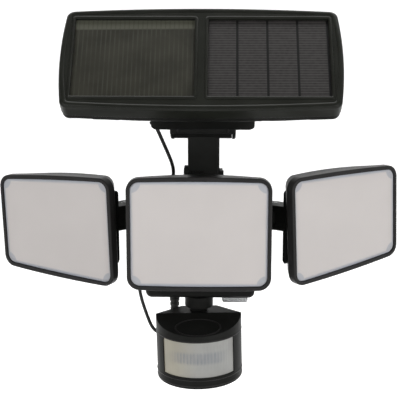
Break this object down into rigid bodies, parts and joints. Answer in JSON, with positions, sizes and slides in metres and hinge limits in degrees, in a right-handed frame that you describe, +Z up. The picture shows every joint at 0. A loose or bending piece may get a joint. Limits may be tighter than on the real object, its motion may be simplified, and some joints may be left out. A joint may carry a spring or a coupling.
{
  "type": "solar motion sensor security light",
  "caption": "Wall-mounted solar security light: a tilting solar panel on a pole, flat lamp heads on swivel arms and a motion sensor that hangs below the battery housing.",
  "frame": {"origin": "centre of the wall plate's back face", "axes": "+Y into the wall, +Z up, +X to the right seen from the front"},
  "size_m": [0.3878, 0.128, 0.347],
  "materials": {
    "black_housing": "satin black moulded plastic",
    "black_panel_frame": "semi-gloss black moulded plastic",
    "diffuser": "milky acrylic, smooth",
    "solar_amorphous": "dark olive thin-film module under clear resin",
    "solar_polycrystalline": "dark grey cells with fine bus lines under clear resin",
    "steel": "zinc-plated steel",
    "black_steel": "blackened steel screw",
    "circuit_board": "green board with parts",
    "led_board": "white lamp board",
    "battery_wrap": "shrink-wrapped cells",
    "cradle": "black moulded cradle",
    "gasket": "soft rubber",
    "clear_boot": "clear silicone",
    "sensor_lens": "milky ribbed plastic",
    "lead_jacket": "black lead jacket"
  },
  "bodies": {
    "housing": {"wall_plate": "black_housing", "lock_screw": "steel", "main_housing": "black_housing", "rear_gasket": "gasket", "rear_cover": "black_housing", "housing_screws": "steel", "battery_cells": "battery_wrap", "battery_tray": "cradle", "control_board": "circuit_board", "switch_body": "cradle", "switch_boot": "clear_boot", "lead_gland": "gasket", "solar_lead": "lead_jacket", "pole": "black_housing", "pole_lock_bolt": "black_steel", "centre_hinge_bolt": "black_steel"},
    "mode_lever": {"switch_lever": "black_housing"},
    "panel": {"panel_frame": "black_panel_frame", "panel_back": "black_housing", "solar_module_left": "solar_amorphous", "solar_module_right": "solar_polycrystalline", "panel_screws": "steel", "wiring_box": "black_housing", "tilt_bracket": "black_housing", "tilt_bolt": "black_steel", "lead_grommet": "gasket"},
    "centre_head": {"centre_bezel": "black_housing", "centre_diffuser": "diffuser", "centre_rear_shell": "black_housing", "centre_led_board": "led_board", "centre_screws": "steel"},
    "right_arm_body": {"right_arm": "black_housing", "right_swivel_nut": "black_housing", "right_pan_screw": "black_steel"},
    "right_head": {"right_bezel": "black_housing", "right_diffuser": "diffuser", "right_rear_shell": "black_housing", "right_led_board": "led_board", "right_screws": "steel"},
    "left_arm_body": {"left_arm": "black_housing", "left_swivel_nut": "black_housing", "left_pan_screw": "black_steel"},
    "left_head": {"left_bezel": "black_housing", "left_diffuser": "diffuser", "left_rear_shell": "black_housing", "left_led_board": "led_board", "left_screws": "steel"},
    "sensor_neck_body": {"sensor_neck": "black_housing", "sensor_pin": "steel"},
    "sensor_head": {"sensor_cap": "black_housing", "sensor_body": "black_housing", "sensor_lens": "sensor_lens", "sensor_board": "circuit_board", "sensor_screws": "steel"}
  },
  "joints": [
    {"name": "centre_tilt", "type": "hinge", "parent": "housing", "child": "centre_head", "pos_m": [0, -0.093, 0.0219], "axis": [1, 0, 0], "range_deg": [-20, 24]},
    {"name": "right_swivel", "type": "hinge", "parent": "housing", "child": "right_arm_body", "pos_m": [0.0693, -0.068, 0.027], "axis": [1, 0, 0], "range_deg": [-30, 60]},
    {"name": "right_pan", "type": "hinge", "parent": "right_arm_body", "child": "right_head", "pos_m": [0.0693, -0.068, 0.027], "axis": [0, 0.0244, 0.9997], "range_deg": [-18, 9]},
    {"name": "left_swivel", "type": "hinge", "parent": "housing", "child": "left_arm_body", "pos_m": [-0.0693, -0.068, 0.027], "axis": [1, 0, 0], "range_deg": [-30, 60]},
    {"name": "left_pan", "type": "hinge", "parent": "left_arm_body", "child": "left_head", "pos_m": [-0.0693, -0.068, 0.027], "axis": [0, 0.0087, -1], "range_deg": [-12, 15]},
    {"name": "panel_tilt", "type": "hinge", "parent": "housing", "child": "panel", "pos_m": [0.0025, -0.06, 0.112], "axis": [1, 0, 0], "range_deg": [-16, 26], "deforming": ["solar_lead"]},
    {"name": "sensor_pan", "type": "hinge", "parent": "housing", "child": "sensor_neck_body", "pos_m": [-0.0013, -0.068, -0.0518], "axis": [0, 0, 1], "range_deg": [-45, 45]},
    {"name": "sensor_tilt", "type": "hinge", "parent": "sensor_neck_body", "child": "sensor_head", "pos_m": [-0.0013, -0.068, -0.073], "axis": [0.9997, 0, 0.0244], "range_deg": [-10, 10]},
    {"name": "mode_slide", "type": "slide", "parent": "housing", "child": "mode_lever", "axis": [1, 0, 0], "range_m": [-0.006, 0.002]}
  ]
}
